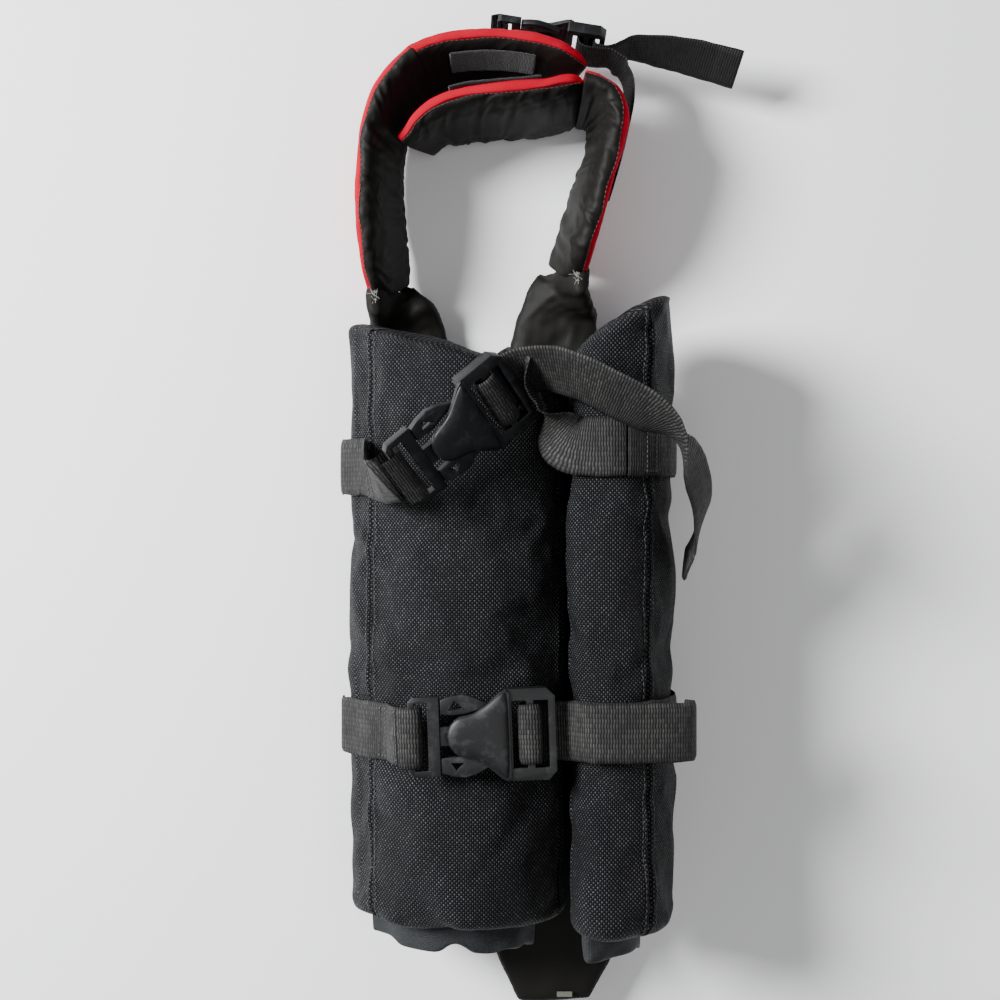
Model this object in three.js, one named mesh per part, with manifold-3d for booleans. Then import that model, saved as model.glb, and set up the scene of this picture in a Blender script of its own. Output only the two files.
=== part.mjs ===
// Foam buoyancy jacket for a small dog, lying on its back with the belly side up.
// Millimetres, +Z up, +Y towards the collar. The origin lies on the resting face of the back panel.
import * as THREE from 'three';
import { mergeVertices } from 'three/addons/utils/BufferGeometryUtils.js';
import Module from 'manifold-3d';

const wasm = await Module();
wasm.setup();

// ---- driving dimensions ----
const gap = 0.3;                // clearance between pieces that touch
const clothWall = 1.2;          // thickness of a fabric shell

const backLength = 252;         // back panel between its top edge and the start of the tail
const backTop = 61;             // Y of the back panel's top edge
const backLeft = -50;
const backRight = 60;
const backThick = 20;
const backCorner = 9;
const tailLength = 40;
const tailRoot = 63;            // tail width where it leaves the panel
const tailTip = 33;             // tail width at its end
const tailCentre = 25;
const liningThick = 1.4;

const padThick = 34;            // side panel, foam and cover
const padTopY = 76;             // side panel's upper end at its outer seam
const padFootY = -184;
const hemLength = 11;
const hemThick = 5;
const leftSlant = 0.31;         // how the upper ends run back towards the middle
const rightSlant = 0.62;
const rightLead = 9;            // the right panel reaches this much further up

const webWidth = 25;
const webThick = 1.6;
const neckWebWidth = 20;

const collarThick = 10.5;
const collarHeight = 50;
const patchThick = 1;

const buckleWidth = 38;         // over the ladder frame of a belly buckle
const ladderLength = 21;
const coverLength = 24;
const armReach = 1.5;           // half thickness of the plug half
const upperBuckle = { at: [-15.5, 30, 101], yaw: 40, roll: 35, dip: 8, size: 1 };
const lowerBuckle = { at: [-5.8, -97, 92.2], yaw: 2, roll: 0, dip: 0, size: 1 };
const neckBuckle = { at: [24, 208.4, 29], yaw: -9, roll: -102, dip: 0, size: 0.8 };

// ---- finishes ----
const finish = (color, roughness, metalness = 0) =>
  new THREE.MeshStandardMaterial({ color, roughness, metalness });
const shellBlack = finish(0x17191d, 0.75);
const satinBlack = finish(0x1c1b18, 0.5);
const red = finish(0xd42338, 0.7);
const foamGrey = finish(0xb9bbb6, 0.95);
const webbing = finish(0x2c2c2b, 0.8);
const plastic = finish(0x15171a, 0.35);
const tape = finish(0x25302f, 0.8);
const offWhite = finish(0xd8d5c8, 0.8);
const fuzz = finish(0x0f0f0f, 0.95);

// ---- solids and sweeps ----
const jacket = new THREE.Group();

function piece(name, geometry, material, parent = jacket) {
  const mesh = new THREE.Mesh(geometry, material);
  mesh.name = name;
  parent.add(mesh);
  return mesh;
}

function toSolid(geometry) {
  const bare = geometry.clone();
  bare.deleteAttribute('normal');
  bare.deleteAttribute('uv');
  const merged = mergeVertices(bare, 1e-4);
  return new wasm.Manifold(new wasm.Mesh({
    numProp: 3,
    vertProperties: new Float32Array(merged.attributes.position.array),
    triVerts: new Uint32Array(merged.index.array),
  }));
}

function toGeometry(solid) {
  const mesh = solid.getMesh();
  const geometry = new THREE.BufferGeometry();
  geometry.setAttribute('position', new THREE.BufferAttribute(mesh.vertProperties, 3));
  geometry.setIndex(new THREE.BufferAttribute(mesh.triVerts, 1));
  return geometry;
}

// Extrudes a closed outline in XZ along Y, from y0 to y1.
function alongY(points, y0, y1) {
  const shape = new THREE.Shape(points.map(([x, z]) => new THREE.Vector2(x, -z)));
  const geometry = new THREE.ExtrudeGeometry(shape, { depth: y1 - y0, bevelEnabled: false });
  geometry.rotateX(-Math.PI / 2);
  geometry.translate(0, y0, 0);
  return geometry;
}

// Extrudes a closed outline in XY upwards, from z0 to z1.
function upright(points, z0, z1) {
  const shape = new THREE.Shape(points.map(([x, y]) => new THREE.Vector2(x, y)));
  const geometry = new THREE.ExtrudeGeometry(shape, { depth: z1 - z0, bevelEnabled: false });
  geometry.translate(0, 0, z0);
  return geometry;
}

function block(x0, x1, y0, y1, z0, z1) {
  const geometry = new THREE.BoxGeometry(x1 - x0, y1 - y0, z1 - z0);
  geometry.translate((x0 + x1) / 2, (y0 + y1) / 2, (z0 + z1) / 2);
  return geometry;
}

// Sweeps a section, given as [across, out] pairs for each station, into one closed body.
function sweep(stations, section) {
  const outline = section(stations[0]).map(([a, o]) => new THREE.Vector2(a, o));
  const count = outline.length;
  const turn = Math.sign(THREE.ShapeUtils.area(outline));
  const position = [];
  for (const station of stations) {
    for (const [a, o] of section(station)) {
      const point = station.at.clone().addScaledVector(station.across, a);
      point.addScaledVector(station.out, o);
      position.push(point.x, point.y, point.z);
    }
  }
  const along = stations[1].at.clone().sub(stations[0].at);
  const hand = new THREE.Vector3().crossVectors(stations[0].across, stations[0].out).dot(along);
  const flip = turn * hand < 0;
  const index = [];
  const face = (a, b, c) => index.push(...(flip ? [a, c, b] : [a, b, c]));
  for (let i = 0; i + 1 < stations.length; i += 1) {
    for (let j = 0; j < count; j += 1) {
      const a = i * count + j;
      const b = i * count + ((j + 1) % count);
      face(a, b, b + count);
      face(a, b + count, a + count);
    }
  }
  const last = (stations.length - 1) * count;
  for (const [p, q, r] of THREE.ShapeUtils.triangulateShape(outline, [])) {
    if (turn > 0) {
      face(p, r, q);
      face(last + p, last + q, last + r);
    } else {
      face(p, q, r);
      face(last + p, last + r, last + q);
    }
  }
  const geometry = new THREE.BufferGeometry();
  geometry.setAttribute('position', new THREE.Float32BufferAttribute(position, 3));
  geometry.setIndex(index);
  return geometry;
}

const vec = (p) => new THREE.Vector3(p[0], p[1], p[2]);

// Smooth stations along a route; every route point is { at, across, ... } with numbers to blend.
function stationsAlong(route, steps) {
  const path = new THREE.CatmullRomCurve3(route.map((r) => vec(r.at)), false, 'centripetal');
  const tilt = new THREE.CatmullRomCurve3(route.map((r) => vec(r.across)), false, 'centripetal');
  const last = route.length - 1;
  const stations = [];
  for (let i = 0; i <= steps; i += 1) {
    const t = i / steps;
    const k = Math.min(last - 1, Math.floor(t * last));
    const f = t * last - k;
    const mix = (key) => route[k][key] * (1 - f) + route[k + 1][key] * f;
    const set = (i === 0 && route[0].dir) || (i === steps && route[last].dir);
    const tangent = set ? vec(set) : path.getTangent(t);
    const across = tilt.getPoint(t);
    across.addScaledVector(tangent, -across.dot(tangent)).normalize();
    const out = new THREE.Vector3().crossVectors(tangent, across).normalize();
    stations.push({
      at: path.getPoint(t), across, out, width: mix('width'), thick: mix('thick'),
    });
  }
  return stations;
}

const ribbonSection = (s) => [
  [-s.width / 2, -s.thick / 2], [s.width / 2, -s.thick / 2],
  [s.width / 2, s.thick / 2], [-s.width / 2, s.thick / 2],
];

function ribbon(route, steps, width = webWidth, thick = webThick) {
  const full = route.map((r) => ({ width, thick, ...r }));
  return sweep(stationsAlong(full, steps), ribbonSection);
}

function padSection(s) {
  const points = [];
  for (let i = 0; i < 12; i += 1) {
    const t = (i / 12) * Math.PI * 2;
    const round = (v) => Math.sign(v) * Math.abs(v) ** 0.55;
    points.push([round(Math.cos(t)) * s.width / 2, round(Math.sin(t)) * s.thick / 2]);
  }
  return points;
}

// ---- back panel: tray of outer fabric, foam slab and lining ----
const tailRootY = backTop - backLength;
const tailTipY = tailRootY - tailLength;

function backOutline(inset) {
  const left = backLeft + inset;
  const right = backRight - inset;
  const top = backTop - inset;
  const c = backCorner;
  return [
    [left + c, top], [left, top - c], [left, tailRootY + c + inset],
    [left + c * 1.6, tailRootY + inset], [tailCentre - tailRoot / 2 + inset, tailRootY - c],
    [tailCentre - tailTip / 2 - c / 2 + inset, tailTipY + c],
    [tailCentre - tailTip / 2 + inset, tailTipY + inset],
    [tailCentre + tailTip / 2 - inset, tailTipY + inset],
    [tailCentre + tailTip / 2 + c / 2 - inset, tailTipY + c],
    [tailCentre + tailRoot / 2 - inset, tailRootY - c + inset],
    [right, tailRootY + c + inset], [right, top - c], [right - c, top],
  ];
}

const backShell = toSolid(upright(backOutline(0), 0, backThick));
const backHollow = toSolid(upright(backOutline(clothWall), clothWall, backThick + 1));
piece('back_cover', toGeometry(backShell.subtract(backHollow)), shellBlack);
piece('back_foam', upright(backOutline(clothWall + gap), clothWall + gap, backThick), foamGrey);
piece('back_lining', upright(backOutline(0), backThick + gap, backThick + gap + liningThick), satinBlack);
const backSkin = backThick + gap + liningThick;
piece('tail_tab', block(26, 33, tailTipY + 4, tailTipY + 6.4, backSkin + gap, backSkin + gap + 1), offWhite);

// ---- side panels ----
// A panel's section follows a centreline from its hinge edge to its free edge.
const leftCentreline = [[-50, 40.5], [-38, 55], [-13, 66], [6, 60], [13, 51]];
const rightCentreline = [[55.5, 40.5], [57.5, 58], [54, 72], [47, 79]];

function padOutline(centreline, thick, outerSide) {
  const curve = new THREE.CatmullRomCurve3(
    centreline.map(([x, z]) => new THREE.Vector3(x, z, 0)), false, 'centripetal');
  const steps = 8;
  const half = thick / 2;
  const outer = [];
  const inner = [];
  for (let i = 0; i <= steps; i += 1) {
    const p = curve.getPoint(i / steps);
    const t = curve.getTangent(i / steps);
    const n = [-t.y * outerSide, t.x * outerSide];
    outer.push([p.x + n[0] * half, p.y + n[1] * half]);
    inner.push([p.x - n[0] * half, p.y - n[1] * half]);
  }
  const cap = (t, side) => {
    const p = curve.getPoint(t);
    const d = curve.getTangent(t);
    const points = [];
    for (let i = 1; i < 4; i += 1) {
      const angle = (i / 4) * Math.PI;
      const c = Math.cos(angle) * outerSide;
      const s = Math.sin(angle);
      points.push([
        p.x + half * (-d.y * c + d.x * s * side), p.y + half * (d.x * c + d.y * s * side),
      ]);
    }
    return points;
  };
  return [...outer, ...cap(1, 1), ...inner.reverse(), ...cap(0, -1).reverse()];
}

// Point on a panel's outer face: t runs from the hinge edge to the free edge, out is the offset.
function onPad(centreline, outerSide, t, out) {
  const curve = new THREE.CatmullRomCurve3(
    centreline.map(([x, z]) => new THREE.Vector3(x, z, 0)), false, 'centripetal');
  const p = curve.getPoint(t);
  const d = curve.getTangent(t);
  const reach = padThick / 2 + out;
  return [p.x - d.y * outerSide * reach, p.y + d.x * outerSide * reach];
}

function slantTop(geometry, topY, seamX, slope) {
  const p = geometry.attributes.position;
  for (let i = 0; i < p.count; i += 1) {
    if (p.getY(i) > 0) p.setY(i, p.getY(i) - slope * (p.getX(i) - seamX));
  }
  return geometry;
}

function sidePanel(side, centreline, outerSide, topY, seamX, slope) {
  const body = (thick, y0, y1) =>
    slantTop(alongY(padOutline(centreline, thick, outerSide), y0, y1), y1, seamX, slope);
  const shell = toSolid(body(padThick, padFootY, topY));
  const hollow = toSolid(body(padThick - 2 * clothWall, padFootY - 1, topY - clothWall));
  piece(`${side}_side_cover`, toGeometry(shell.subtract(hollow)), shellBlack);
  const foamThick = padThick - 2 * (clothWall + gap);
  piece(`${side}_side_foam`, body(foamThick, padFootY, topY - clothWall - gap), foamGrey);
  const hem = alongY(padOutline(centreline, hemThick, outerSide), padFootY - hemLength, padFootY - gap);
  piece(`${side}_hem_binding`, hem, tape);
}

sidePanel('left', leftCentreline, 1, padTopY, -52, leftSlant);
sidePanel('right', rightCentreline, 1, padTopY + rightLead, 62, -rightSlant);

// ---- shoulders: flat where they leave the back panel, turned up on edge at the crease ----
const shoulderThick = 9;
const creaseGap = 0.8;
const creaseEnd = { width: 32, thick: shoulderThick, dir: [0, 1, 0] };
const leftCrease = { at: [-51, 96, 21], across: [-0.5, 0, 0.86], ...creaseEnd };
const rightCrease = { at: [31, 105, 21], across: [0.45, 0, 0.89], ...creaseEnd };
const shoulderRoot = backTop + gap + 0.2;

function shoulder(name, rootX, rootWidth, rootAcross, crease) {
  const root = {
    at: [rootX, shoulderRoot, 12], across: rootAcross, width: rootWidth, thick: shoulderThick, dir: [0, 1, 0],
  };
  const middle = {
    at: [(rootX + crease.at[0]) / 2, shoulderRoot + 0.58 * (crease.at[1] - shoulderRoot), 11.6],
    across: [rootAcross[0], 0, 0.04], width: (rootWidth + crease.width) / 2, thick: shoulderThick,
  };
  const [x, y, z] = crease.at;
  const ahead = { ...crease, at: [x, y - 6, z] };
  piece(name, sweep(stationsAlong([root, middle, ahead, crease], 9), padSection), satinBlack);
}

shoulder('left_shoulder', -35, 30, [-1, 0, 0], leftCrease);
shoulder('right_shoulder', 24, 42, [1, 0, 0], rightCrease);

// ---- collar: two arms on edge, each ending in a flap; red channel, foam core, satin lining ----
const collarBase = 5;

// side is +1 where the outside of the loop lies left of the direction of travel.
function collarStations(route, side, steps) {
  const path = new THREE.CatmullRomCurve3(
    route.map((r) => new THREE.Vector3(r.at[0], r.at[1], 0)), false, 'centripetal');
  const last = route.length - 1;
  const stations = [];
  for (let i = 0; i <= steps; i += 1) {
    const t = i / steps;
    const k = Math.min(last - 1, Math.floor(t * last));
    const f = t * last - k;
    const mix = (key) => route[k][key] * (1 - f) + route[k + 1][key] * f;
    const tangent = i === 0 ? vec([0, 1, 0]) : path.getTangent(t);
    const outward = new THREE.Vector3(-tangent.y * side, tangent.x * side, 0);
    const lean = THREE.MathUtils.degToRad(mix('lean'));
    const across = new THREE.Vector3(0, 0, Math.cos(lean)).addScaledVector(outward, Math.sin(lean));
    const out = outward.multiplyScalar(Math.cos(lean)).setZ(-Math.sin(lean));
    const at = path.getPoint(t);
    at.z = collarBase + (mix('height') / 2) * Math.cos(lean);
    stations.push({ at, across, out, width: mix('height'), thick: mix('thick') });
  }
  return stations;
}

const facing = clothWall + 0.1;      // the lining's thickness on a collar band

const channelSection = (s) => {
  const w = s.width / 2;
  const t = s.thick / 2;
  const lip = -t + facing + gap;
  const wall = clothWall;
  return [
    [-w, lip], [-w, t], [w, t], [w, lip], [w - wall, lip], [w - wall, t - wall],
    [-w + wall, t - wall], [-w + wall, lip],
  ];
};
const coreSection = (s) => {
  const w = s.width / 2 - clothWall - gap;
  const low = -s.thick / 2 + facing + gap;
  const high = s.thick / 2 - clothWall - gap;
  return [[-w, low], [-w, high], [w, high], [w, low]];
};
const facingSection = (s) => {
  const w = s.width / 2;
  const t = s.thick / 2;
  return [[-w, -t], [-w, -t + facing], [w, -t + facing], [w, -t]];
};

function collarBand(name, stations) {
  piece(`${name}_cover`, sweep(stations, channelSection), red);
  piece(`${name}_foam`, sweep(stations, coreSection), foamGrey);
  piece(`${name}_lining`, sweep(stations, facingSection), satinBlack);
}

const station = (x, y, lean, height = collarHeight, thick = collarThick) =>
  ({ at: [x, y], lean, height, thick });

// Parts a band at station k; the rest starts a small gap further on, with a parallel end face.
function parted(stations, k) {
  const normal = new THREE.Vector3().crossVectors(stations[k].across, stations[k].out);
  const ahead = stations[k + 1].at.clone().sub(stations[k].at);
  const step = normal.multiplyScalar(Math.sign(normal.dot(ahead)) * 2 * gap);
  const start = { ...stations[k], at: stations[k].at.clone().add(step) };
  return [stations.slice(0, k + 1), [start, ...stations.slice(k + 1)]];
}

const leftBand = collarStations([
  station(-51, 96 + creaseGap, 30, 32), station(-53.5, 112, 20, 45), station(-55, 135, 14),
  station(-54.5, 158, 13), station(-50, 176, 12), station(-41, 189, 12), station(-29, 196.5, 12),
  station(-11, 199.3, 12), station(6, 198.8, 12), station(22, 195.8, 12), station(34, 191.6, 12, 44, 6),
], 1, 22);
const rightBand = collarStations([
  station(31, 105 + creaseGap, 24, 32), station(36, 120, 14, 45), station(42, 140, 11),
  station(47.5, 158, 10), station(49.5, 169, 10), station(46.5, 178, 10), station(37, 181.6, 10),
  station(18, 177.8, 10), station(0, 176.2, 10), station(-18, 174.2, 10),
  station(-31, 169, 10, 46, 9), station(-38, 162.5, 10, 40, 7),
], -1, 24);
const [leftArm, leftFlap] = parted(leftBand, 12);
const [rightArm, rightFlap] = parted(rightBand, 13);
collarBand('left_arm', leftArm);
collarBand('left_flap', leftFlap);
collarBand('right_arm', rightArm);
collarBand('right_flap', rightFlap);

// Hook and loop patches face each other between the flaps.
const patchSection = (side, low, high) => (s) => {
  const near = side * (s.thick / 2 + gap);
  const far = side * (s.thick / 2 + gap + patchThick);
  return [[low, near], [low, far], [high, far], [high, near]];
};
piece('hook_patch', sweep(leftFlap.slice(2, 8), patchSection(-1, 2, 20)), fuzz);
piece('loop_patch', sweep(rightFlap.slice(2, 8), patchSection(1, -6, 20)), fuzz);

// ---- side-release buckles ----
// Local axes: x from the plug towards the ladder, y across, z out of the cover.
function buckleFrame({ at, yaw, roll, dip }) {
  const rad = THREE.MathUtils.degToRad;
  const axis = new THREE.Vector3(
    Math.cos(rad(yaw)) * Math.cos(rad(dip)), Math.sin(rad(yaw)) * Math.cos(rad(dip)), -Math.sin(rad(dip)));
  const level = new THREE.Vector3(Math.sin(rad(yaw)), -Math.cos(rad(yaw)), 0);
  const up = new THREE.Vector3().crossVectors(level, axis);
  const normal = up.multiplyScalar(Math.cos(rad(roll))).addScaledVector(level, Math.sin(rad(roll)));
  const left = new THREE.Vector3().crossVectors(normal, axis);
  return new THREE.Matrix4().makeBasis(axis, left, normal).setPosition(...at);
}

const halfBuckle = buckleWidth / 2;
const slotHalf = webWidth / 2 + 1.4;
const barThick = 4;
const plugBack = -32;           // outer edge of the webbing bar
const plugFront = -19;
const noseX = -16;
const coverEnd = noseX + coverLength;
const ladderEnd = coverEnd + ladderLength;
const coverUnder = 2.4;         // underside of the cover above the middle plane
const coverTop = 4.1;
const armRoot = 12;             // distance of an arm's root from the centreline

function rounded(x0, x1, half, r) {
  return [[x0, half], [x1 - r, half], [x1, half - r], [x1, -half + r], [x1 - r, -half], [x0, -half]];
}

function plate(points, holes, z0, z1) {
  const shape = new THREE.Shape(points.map(([x, y]) => new THREE.Vector2(x, y)));
  for (const hole of holes) shape.holes.push(new THREE.Path(hole.map(([x, y]) => new THREE.Vector2(x, y))));
  const geometry = new THREE.ExtrudeGeometry(shape, { depth: z1 - z0, bevelEnabled: false });
  geometry.translate(0, 0, z0);
  return geometry;
}

function plugBody() {
  const edge = slotHalf + 2.6;
  const slotBack = plugBack + 2.5;
  const slotFront = plugBack + 8;
  const frame = plate(
    [[plugBack, edge - 2], [plugBack + 2, edge], [plugFront, edge], [plugFront, -edge],
      [plugBack + 2, -edge], [plugBack, -edge + 2]],
    [[[slotBack, -slotHalf], [slotFront, -slotHalf], [slotFront, slotHalf], [slotBack, slotHalf]]],
    -barThick / 2, barThick / 2);
  const tongue = block(plugFront - 1, -2, -4, 4, -armReach, armReach);
  return toGeometry(toSolid(frame).add(toSolid(tongue)));
}

function plugArm(side) {
  const root = plugFront + gap;
  const outline = [
    [root, armRoot - 3], [root, armRoot + 3], [-14, 16.6], [-9, 17.2], [-4, 15.8], [0, 13.6], [3, 12.8],
    [3, 9.8], [-3, 10.4], [-8, 8.8], [-13, 8.4],
  ];
  const window = [[-14.6, 11], [-9.2, 11.2], [-12.6, 14.2]];
  const mirror = (points) => points.map(([x, y]) => [x, y * side]);
  return plate(mirror(outline), [mirror(window)], -armReach, armReach);
}

function socketBody() {
  const nose = [];
  for (let i = 0; i <= 8; i += 1) {
    const angle = THREE.MathUtils.degToRad(115 + (i / 8) * 130);
    nose.push([noseX + 9 + 9 * Math.cos(angle), 9 * Math.sin(angle)]);
  }
  const flank = [[-4, 9.6], [1, 13.2], [coverEnd - 2, 17.6], [coverEnd + 1, halfBuckle]];
  const outline = [
    ...nose, ...flank.map(([x, y]) => [x, -y]), ...[...flank].reverse(),
  ];
  const eye = (side) => [[1.2, 9 * side], [4.4, 10.4 * side], [4.6, 12.2 * side], [2.4, 11.6 * side]];
  const cover = plate(outline, [eye(1), eye(-1)], coverUnder, coverTop);
  const ladder = plate(rounded(coverEnd, ladderEnd, halfBuckle, 3.5), [], -3, 3);
  const rear = block(coverEnd - 0.6, coverEnd + 2.2, -halfBuckle + 1, halfBuckle - 1, -3, coverTop);
  const opening = (x0, x1) => toSolid(block(x0, x1, -slotHalf, slotHalf, -5, 5));
  return toGeometry(
    toSolid(ladder).add(toSolid(cover)).add(toSolid(rear))
      .subtract(opening(coverEnd + 3, coverEnd + 9)).subtract(opening(ladderEnd - 9, ladderEnd - 3)));
}

function buckle(name, placing) {
  const matrix = buckleFrame(placing);
  matrix.scale(new THREE.Vector3(placing.size, placing.size, placing.size));
  const holder = new THREE.Group();
  holder.applyMatrix4(matrix);
  jacket.add(holder);
  piece(`${name}_plug`, plugBody(), plastic, holder);
  piece(`${name}_arm_a`, plugArm(1), plastic, holder);
  piece(`${name}_arm_b`, plugArm(-1), plastic, holder);
  piece(`${name}_socket`, socketBody(), plastic, holder);
  return (x, y, z) => new THREE.Vector3(x, y, z).applyMatrix4(matrix).toArray();
}

const onUpper = buckle('upper_buckle', upperBuckle);
const onLower = buckle('lower_buckle', lowerBuckle);
const onNeck = buckle('neck_buckle', neckBuckle);

// ---- belly straps ----
const flatAcross = [0, 1, 0];
const clear = gap + webThick / 2;

// Points on a side panel's outer face, a webbing's half thickness clear of it, in the plane y.
function padRun(centreline, outerSide, y, low, ts, lift = clear + 0.4) {
  const [x0, z0] = onPad(centreline, outerSide, 0, lift);
  const side = Math.sign(x0);
  const start = low.map(([out, drop], i) => (
    { at: [x0 + side * out, y, z0 - drop], across: flatAcross, dir: i ? undefined : [0, 0, 1] }));
  const run = ts.map((t) => {
    const [x, z] = onPad(centreline, outerSide, t, lift);
    return { at: [x, y, z], across: flatAcross };
  });
  return [...start, ...run];
}

const axisOf = (on) => vec(on(0, 1, 0)).sub(vec(on(0, 0, 0))).normalize().toArray();
const placed = (on, points) => points.map(([x, z]) => ({ at: on(x, 0, z), across: axisOf(on) }));

// The left webbing passes up through the plug's slot and back over its bar.
const plugLoop = [[-38, -5.6], [-31, -5], [-27.2, -3.6], [-26.7, 0], [-27.6, 3.6], [-31, 4.3], [-36, 2.6]];
// The strap passes up through the front slot of the ladder, over the middle bar and out under the end bar.
const ladderLacing = [
  [34, -6], [26, -6.4], [18, -6.5], [14.6, -4.6], [14, 0], [14.6, 3], [18.5, 4.4], [22.2, 3], [22.8, 0],
  [23.6, -3.4], [27, -4.5], [31, -4.3], [35.5, -2],
];

const upperY = 14.5;
const lowerY = -99;
const upperStrapY = 22;
const lowerStrapY = -95.5;
const leftLow = [[5.4, 15], [5, 6]];
const rightLow = [[0.2, 10], [0.2, 4]];

piece('lower_left_webbing', ribbon([
  ...padRun(leftCentreline, 1, lowerY, leftLow, [0.02, 0.09, 0.17, 0.25]),
  ...placed(onLower, plugLoop),
], 40), webbing);
piece('upper_left_webbing', ribbon([
  ...padRun(leftCentreline, 1, upperY, leftLow, [0.02, 0.07, 0.13], clear + 0.8),
  ...placed(onUpper, plugLoop),
], 40), webbing);

// On the right panel each strap is sewn down the outer side and runs over the top edge.
const crestAngle = 72;
const [crestX, crestZ] = rightCentreline[rightCentreline.length - 1];
function overCrest(angle, y, lift = clear) {
  const rad = THREE.MathUtils.degToRad(angle);
  const reach = padThick / 2 + lift;
  return { at: [crestX + reach * Math.cos(rad), y, crestZ + reach * Math.sin(rad)], across: flatAcross };
}
function rightWebbing(name, y) {
  const route = [
    ...padRun(rightCentreline, -1, y, rightLow, [0.05, 0.35, 0.65, 0.9]),
    overCrest(50, y), overCrest(crestAngle, y),
  ];
  piece(name, ribbon(route, 16), webbing);
}
rightWebbing('upper_right_webbing', upperStrapY);
rightWebbing('lower_right_webbing', lowerStrapY);

const world = (x, y, z, across = flatAcross) => ({ at: [x, y, z], across });
const strapStart = (y) => [overCrest(crestAngle + 2, y), overCrest(92, y, clear + 0.6)];

piece('lower_strap', ribbon([
  ...strapStart(lowerStrapY), world(37, lowerStrapY, 95.2), world(31.6, lowerStrapY, 90.8),
  ...placed(onLower, ladderLacing),
  world(36, lowerStrapY, 98.6), world(46, lowerStrapY, 100.6), world(58, lowerStrapY, 100),
  world(70, lowerStrapY, 98), world(78.6, lowerStrapY, 94), world(81, lowerStrapY, 88.5),
  world(77.5, lowerStrapY, 83),
], 96), webbing);

const tailLean = [0.08, -0.75, -0.65];
piece('upper_strap', ribbon([
  ...strapStart(upperStrapY), world(37, upperStrapY, 95.9), world(28, 24, 93.2),
  world(21.5, 31, 91.4, [-0.35, 0.9, 0.2]), world(15.8, 41.4, 91.3, [-0.5, 0.75, 0.4]),
  ...placed(onUpper, ladderLacing),
  ...[[22.5, 52.8, 101], [32, 49.5, 106.5], [43, 44, 110]].map(([x, y, z]) =>
    world(x, y, z, tailLean.map((v) => -v))),
  world(58, 36, 110.5, [-0.3, 0.72, 0.62]), world(71, 25, 105, [-0.5, 0.55, 0.66]),
  world(81, 11, 94, [-0.5, 0.3, 0.8]), world(85, -3, 84, [-0.35, 0.1, 0.93]),
  world(83.5, -16, 74, [0, 0.1, 1]), world(80, -27, 65, [0.05, 0.1, 1]),
], 110), webbing);

// ---- neck strap: sewn to both arms on the outside of the loop ----
const sewn = (width) => (s) => {
  const near = s.thick / 2 + gap;
  return [[-width / 2, near], [-width / 2, near + webThick], [width / 2, near + webThick], [width / 2, near]];
};
piece('neck_left_webbing', sweep(leftFlap.slice(1, 3), sewn(neckWebWidth)), webbing);
piece('neck_right_webbing', sweep(rightArm.slice(4, 9), sewn(neckWebWidth)), webbing);

// A ribbon point that carries on from a sewn strip, in the direction of travel.
function outside(s, ahead) {
  const travel = new THREE.Vector3().crossVectors(s.across, s.out).multiplyScalar(Math.sign(ahead));
  return {
    at: s.at.clone().addScaledVector(s.out, s.thick / 2 + clear).addScaledVector(travel, gap * 2).toArray(),
    across: s.across.toArray(), dir: travel.toArray(),
  };
}
const leftUp = leftFlap[3].across.toArray();
const rightUp = rightArm[9].across.toArray();
piece('neck_plug_webbing', ribbon([
  outside(leftFlap[2], -1), world(-13, 206.9, 29, leftUp), ...placed(onNeck, plugLoop.slice(1)),
], 30, neckWebWidth), webbing);
piece('neck_strap', ribbon([
  outside(rightArm[8], 1), world(58.3, 180, 29, rightUp), world(57.5, 191, 29, rightUp),
  ...placed(onNeck, ladderLacing),
  world(58, 204.6, 29, [0, 0.3, 0.95]), world(74, 203, 29, [0, 0.55, 0.83]),
  world(92, 199.5, 28, [0, 0.7, 0.7]), world(108, 195, 28, [0.1, 0.75, 0.65]),
], 90, neckWebWidth), webbing);

export default jacket;
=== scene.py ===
import itertools
import math

import bmesh
import bpy
import numpy as np
from mathutils import Matrix, Vector
from mathutils.bvhtree import BVHTree


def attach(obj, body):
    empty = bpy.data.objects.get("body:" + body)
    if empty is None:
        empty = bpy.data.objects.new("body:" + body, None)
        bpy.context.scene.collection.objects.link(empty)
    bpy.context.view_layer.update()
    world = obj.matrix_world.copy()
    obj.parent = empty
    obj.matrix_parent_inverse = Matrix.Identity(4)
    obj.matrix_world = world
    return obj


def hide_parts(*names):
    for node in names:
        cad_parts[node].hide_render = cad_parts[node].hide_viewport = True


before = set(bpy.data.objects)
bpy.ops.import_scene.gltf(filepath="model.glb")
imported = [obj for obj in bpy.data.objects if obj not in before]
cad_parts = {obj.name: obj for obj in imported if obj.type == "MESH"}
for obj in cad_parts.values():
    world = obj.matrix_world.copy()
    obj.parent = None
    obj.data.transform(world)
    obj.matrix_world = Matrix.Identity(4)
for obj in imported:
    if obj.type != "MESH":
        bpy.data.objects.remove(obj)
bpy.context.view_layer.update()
scene = bpy.context.scene

# ---- Camera, floor and light ----
# The jacket lies belly up on a pale floor and is looked at from straight above, collar at the top.
# The light is one broad soft lamp from the upper left with a weaker one opposite.
camera_data = bpy.data.cameras.new("camera")
camera_data.lens = 57.3
camera_data.sensor_width = 36
camera = bpy.data.objects.new("camera", camera_data)
camera.location = (0, 0, 0.75)
scene.collection.objects.link(camera)
scene.camera = camera


def lamp(name, place, size, watts, colour):
    data = bpy.data.lights.new(name, "AREA")
    data.shape = "DISK"
    data.size = size
    data.energy = watts
    data.color = colour
    obj = bpy.data.objects.new(name, data)
    obj.location = place
    obj.rotation_euler = (-Vector(place)).to_track_quat("-Z", "Y").to_euler()
    scene.collection.objects.link(obj)


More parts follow.
